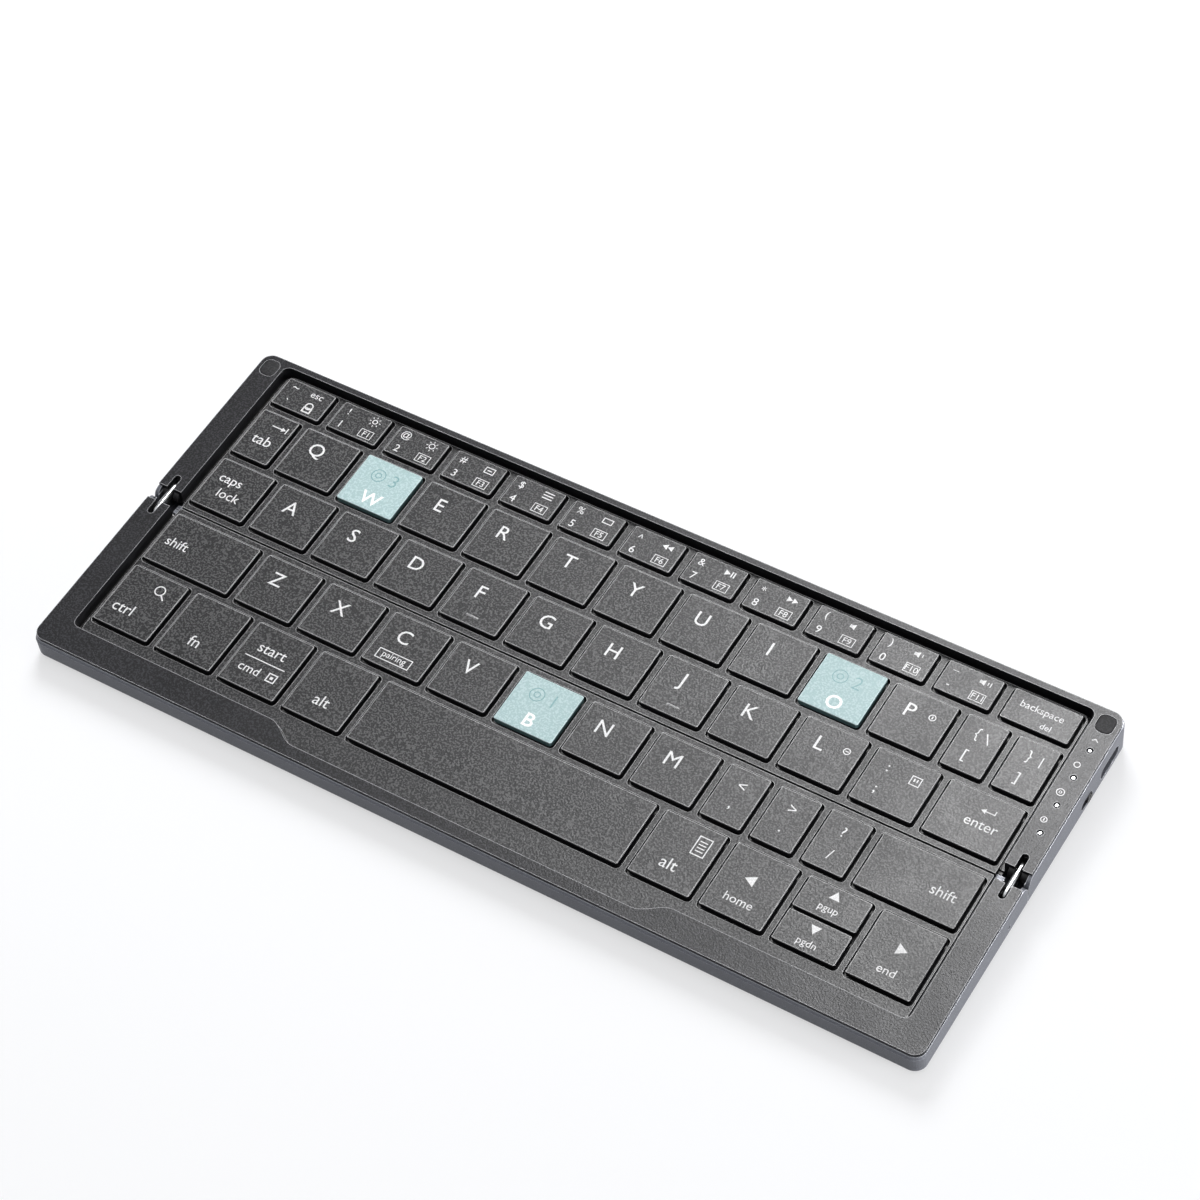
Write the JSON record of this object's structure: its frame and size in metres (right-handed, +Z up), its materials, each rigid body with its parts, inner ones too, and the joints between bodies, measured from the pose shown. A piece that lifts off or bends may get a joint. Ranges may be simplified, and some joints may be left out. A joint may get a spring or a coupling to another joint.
{
  "type": "folding keyboard",
  "caption": "Folding keyboard with a thin metal case that closes on two-pivot links, moulded keys in sunken webs, a charging socket and a slide switch.",
  "frame": {"origin": "on the table under the middle of the opened case", "axes": "+X to the right along the fold, +Y to the rear, +Z up"},
  "size_m": [0.2468, 0.1044, 0.0114],
  "materials": {
    "case_metal": "satin blue-grey, fine bead",
    "bezel_plastic": "fine matte",
    "web_plastic": "fine matte",
    "key_grey": "soft matte",
    "key_cyan": "soft matte",
    "silicone": "translucent white silicone",
    "sheet_steel": "rolled",
    "battery_foil": "foil pouch",
    "circuit_board": "solder mask",
    "socket_steel": "drawn",
    "clear_plastic": "clear light guide",
    "pad_rubber": "smooth",
    "foot_rubber": "matte",
    "hinge_cast": "dark cast zinc",
    "screw_steel": "black oxide",
    "slider_plastic": "moulded",
    "link_steel": "polished"
  },
  "bodies": {
    "rear_half": {"rear_lower_shell": "case_metal", "rear_bezel": "bezel_plastic", "rear_key_web": "web_plastic", "rear_dome_sheet": "silicone", "rear_backing_plate": "sheet_steel", "battery_cell": "battery_foil", "controller_board": "circuit_board", "usb_c_socket": "socket_steel", "indicator_light_bar": "clear_plastic", "corner_pads": "pad_rubber", "rear_feet": "foot_rubber", "rear_hinge_blocks": "hinge_cast", "rear_case_screws": "screw_steel"},
    "power_slider": {"power_slider": "slider_plastic"},
    "left_link": {"left_link": "link_steel"},
    "right_link": {"right_link": "link_steel"},
    "front_half": {"front_lower_shell": "case_metal", "front_bezel": "bezel_plastic", "front_key_web": "web_plastic", "front_dome_sheet": "silicone", "front_backing_plate": "sheet_steel", "front_feet": "foot_rubber", "front_hinge_blocks": "hinge_cast", "front_case_screws": "screw_steel"},
    "number_row_keys": {"number_row_keys": "key_grey"},
    "tab_caps_keys": {"tab_caps_keys": "key_grey"},
    "key_q": {"key_q": "key_grey"},
    "key_w": {"key_w": "key_cyan"},
    "key_e": {"key_e": "key_grey"},
    "key_r": {"key_r": "key_grey"},
    "key_t": {"key_t": "key_grey"},
    "key_y": {"key_y": "key_grey"},
    "key_u": {"key_u": "key_grey"},
    "key_i": {"key_i": "key_grey"},
    "key_o": {"key_o": "key_cyan"},
    "key_p": {"key_p": "key_grey"},
    "bracket_keys": {"bracket_keys": "key_grey"},
    "key_a": {"key_a": "key_grey"},
    "key_s": {"key_s": "key_grey"},
    "key_d": {"key_d": "key_grey"},
    "key_f": {"key_f": "key_grey"},
    "key_g": {"key_g": "key_grey"},
    "key_h": {"key_h": "key_grey"},
    "key_j": {"key_j": "key_grey"},
    "key_k": {"key_k": "key_grey"},
    "key_l": {"key_l": "key_grey"},
    "key_semicolon": {"key_semicolon": "key_grey"},
    "key_enter": {"key_enter": "key_grey"},
    "shift_keys": {"shift_keys": "key_grey"},
    "key_z": {"key_z": "key_grey"},
    "key_x": {"key_x": "key_grey"},
    "key_c": {"key_c": "key_grey"},
    "key_v": {"key_v": "key_grey"},
    "key_b": {"key_b": "key_cyan"},
    "key_n": {"key_n": "key_grey"},
    "key_m": {"key_m": "key_grey"},
    "punctuation_keys": {"punctuation_keys": "key_grey"},
    "left_modifier_keys": {"left_modifier_keys": "key_grey"},
    "key_space": {"key_space": "key_grey"},
    "arrow_keys": {"arrow_keys": "key_grey"}
  },
  "joints": [
    {"name": "link_pivot_rear", "type": "hinge", "parent": "rear_half", "child": "left_link", "pos_m": [0, 0.00351, 0.00642], "axis": [-1, 0, 0], "range_deg": [0, 90]},
    {"name": "link_pivot_front", "type": "hinge", "parent": "left_link", "child": "front_half", "pos_m": [0, -0.00369, 0.00617], "axis": [-1, 0, 0], "range_deg": [0, 90]},
    {"name": "right_link_pivot_rear", "type": "hinge", "parent": "rear_half", "child": "right_link", "pos_m": [0, 0.00351, 0.00642], "axis": [-1, 0, 0], "range_deg": [0, 90]},
    {"name": "power_slide", "type": "slide", "parent": "rear_half", "child": "power_slider", "axis": [0, -0.9994, -0.0349], "range_m": [0, 0.002]},
    {"name": "number_row_keys_press", "type": "slide", "parent": "rear_half", "child": "number_row_keys", "axis": [0, 0.0349, -0.9994], "range_m": [0, 0.001], "stiffness_N_per_m": 4550},
    {"name": "tab_caps_keys_press", "type": "slide", "parent": "rear_half", "child": "tab_caps_keys", "axis": [0, 0.0349, -0.9994], "range_m": [0, 0.001], "stiffness_N_per_m": 700},
    {"name": "key_q_press", "type": "slide", "parent": "rear_half", "child": "key_q", "axis": [0, 0.0349, -0.9994], "range_m": [0, 0.001], "stiffness_N_per_m": 350},
    {"name": "key_w_press", "type": "slide", "parent": "rear_half", "child": "key_w", "axis": [0, 0.0349, -0.9994], "range_m": [0, 0.001], "stiffness_N_per_m": 350},
    {"name": "key_e_press", "type": "slide", "parent": "rear_half", "child": "key_e", "axis": [0, 0.0349, -0.9994], "range_m": [0, 0.001], "stiffness_N_per_m": 350},
    {"name": "key_r_press", "type": "slide", "parent": "rear_half", "child": "key_r", "axis": [0, 0.0349, -0.9994], "range_m": [0, 0.001], "stiffness_N_per_m": 350},
    {"name": "key_t_press", "type": "slide", "parent": "rear_half", "child": "key_t", "axis": [0, 0.0349, -0.9994], "range_m": [0, 0.001], "stiffness_N_per_m": 350},
    {"name": "key_y_press", "type": "slide", "parent": "rear_half", "child": "key_y", "axis": [0, 0.0349, -0.9994], "range_m": [0, 0.001], "stiffness_N_per_m": 350},
    {"name": "key_u_press", "type": "slide", "parent": "rear_half", "child": "key_u", "axis": [0, 0.0349, -0.9994], "range_m": [0, 0.001], "stiffness_N_per_m": 350},
    {"name": "key_i_press", "type": "slide", "parent": "rear_half", "child": "key_i", "axis": [0, 0.0349, -0.9994], "range_m": [0, 0.001], "stiffness_N_per_m": 350},
    {"name": "key_o_press", "type": "slide", "parent": "rear_half", "child": "key_o", "axis": [0, 0.0349, -0.9994], "range_m": [0, 0.001], "stiffness_N_per_m": 350},
    {"name": "key_p_press", "type": "slide", "parent": "rear_half", "child": "key_p", "axis": [0, 0.0349, -0.9994], "range_m": [0, 0.001], "stiffness_N_per_m": 350},
    {"name": "bracket_keys_press", "type": "slide", "parent": "rear_half", "child": "bracket_keys", "axis": [0, 0.0349, -0.9994], "range_m": [0, 0.001], "stiffness_N_per_m": 700},
    {"name": "key_a_press", "type": "slide", "parent": "rear_half", "child": "key_a", "axis": [0, 0.0349, -0.9994], "range_m": [0, 0.001], "stiffness_N_per_m": 350},
    {"name": "key_s_press", "type": "slide", "parent": "rear_half", "child": "key_s", "axis": [0, 0.0349, -0.9994], "range_m": [0, 0.001], "stiffness_N_per_m": 350},
    {"name": "key_d_press", "type": "slide", "parent": "rear_half", "child": "key_d", "axis": [0, 0.0349, -0.9994], "range_m": [0, 0.001], "stiffness_N_per_m": 350},
    {"name": "key_f_press", "type": "slide", "parent": "rear_half", "child": "key_f", "axis": [0, 0.0349, -0.9994], "range_m": [0, 0.001], "stiffness_N_per_m": 350},
    {"name": "key_g_press", "type": "slide", "parent": "rear_half", "child": "key_g", "axis": [0, 0.0349, -0.9994], "range_m": [0, 0.001], "stiffness_N_per_m": 350},
    {"name": "key_h_press", "type": "slide", "parent": "rear_half", "child": "key_h", "axis": [0, 0.0349, -0.9994], "range_m": [0, 0.001], "stiffness_N_per_m": 350},
    {"name": "key_j_press", "type": "slide", "parent": "rear_half", "child": "key_j", "axis": [0, 0.0349, -0.9994], "range_m": [0, 0.001], "stiffness_N_per_m": 350},
    {"name": "key_k_press", "type": "slide", "parent": "rear_half", "child": "key_k", "axis": [0, 0.0349, -0.9994], "range_m": [0, 0.001], "stiffness_N_per_m": 350},
    {"name": "key_l_press", "type": "slide", "parent": "rear_half", "child": "key_l", "axis": [0, 0.0349, -0.9994], "range_m": [0, 0.001], "stiffness_N_per_m": 350},
    {"name": "key_semicolon_press", "type": "slide", "parent": "rear_half", "child": "key_semicolon", "axis": [0, 0.0349, -0.9994], "range_m": [0, 0.001], "stiffness_N_per_m": 350},
    {"name": "key_enter_press", "type": "slide", "parent": "rear_half", "child": "key_enter", "axis": [0, 0.0349, -0.9994], "range_m": [0, 0.001], "stiffness_N_per_m": 350},
    {"name": "shift_keys_press", "type": "slide", "parent": "front_half", "child": "shift_keys", "axis": [0, 0.0349, -0.9994], "range_m": [0, 0.001], "stiffness_N_per_m": 700},
    {"name": "key_z_press", "type": "slide", "parent": "front_half", "child": "key_z", "axis": [0, 0.0349, -0.9994], "range_m": [0, 0.001], "stiffness_N_per_m": 350},
    {"name": "key_x_press", "type": "slide", "parent": "front_half", "child": "key_x", "axis": [0, 0.0349, -0.9994], "range_m": [0, 0.001], "stiffness_N_per_m": 350},
    {"name": "key_c_press", "type": "slide", "parent": "front_half", "child": "key_c", "axis": [0, 0.0349, -0.9994], "range_m": [0, 0.001], "stiffness_N_per_m": 350},
    {"name": "key_v_press", "type": "slide", "parent": "front_half", "child": "key_v", "axis": [0, 0.0349, -0.9994], "range_m": [0, 0.001], "stiffness_N_per_m": 350},
    {"name": "key_b_press", "type": "slide", "parent": "front_half", "child": "key_b", "axis": [0, 0.0349, -0.9994], "range_m": [0, 0.001], "stiffness_N_per_m": 350},
    {"name": "key_n_press", "type": "slide", "parent": "front_half", "child": "key_n", "axis": [0, 0.0349, -0.9994], "range_m": [0, 0.001], "stiffness_N_per_m": 350},
    {"name": "key_m_press", "type": "slide", "parent": "front_half", "child": "key_m", "axis": [0, 0.0349, -0.9994], "range_m": [0, 0.001], "stiffness_N_per_m": 350},
    {"name": "punctuation_keys_press", "type": "slide", "parent": "front_half", "child": "punctuation_keys", "axis": [0, 0.0349, -0.9994], "range_m": [0, 0.001], "stiffness_N_per_m": 1050},
    {"name": "left_modifier_keys_press", "type": "slide", "parent": "front_half", "child": "left_modifier_keys", "axis": [0, 0.0349, -0.9994], "range_m": [0, 0.001], "stiffness_N_per_m": 1400},
    {"name": "key_space_press", "type": "slide", "parent": "front_half", "child": "key_space", "axis": [0, 0.0349, -0.9994], "range_m": [0, 0.001], "stiffness_N_per_m": 350},
    {"name": "arrow_keys_press", "type": "slide", "parent": "front_half", "child": "arrow_keys", "axis": [0, 0.0349, -0.9994], "range_m": [0, 0.001], "stiffness_N_per_m": 1750}
  ],
  "couplings": [
    {"joint": "right_link_pivot_rear", "follows": "link_pivot_rear", "ratio": 1}
  ]
}
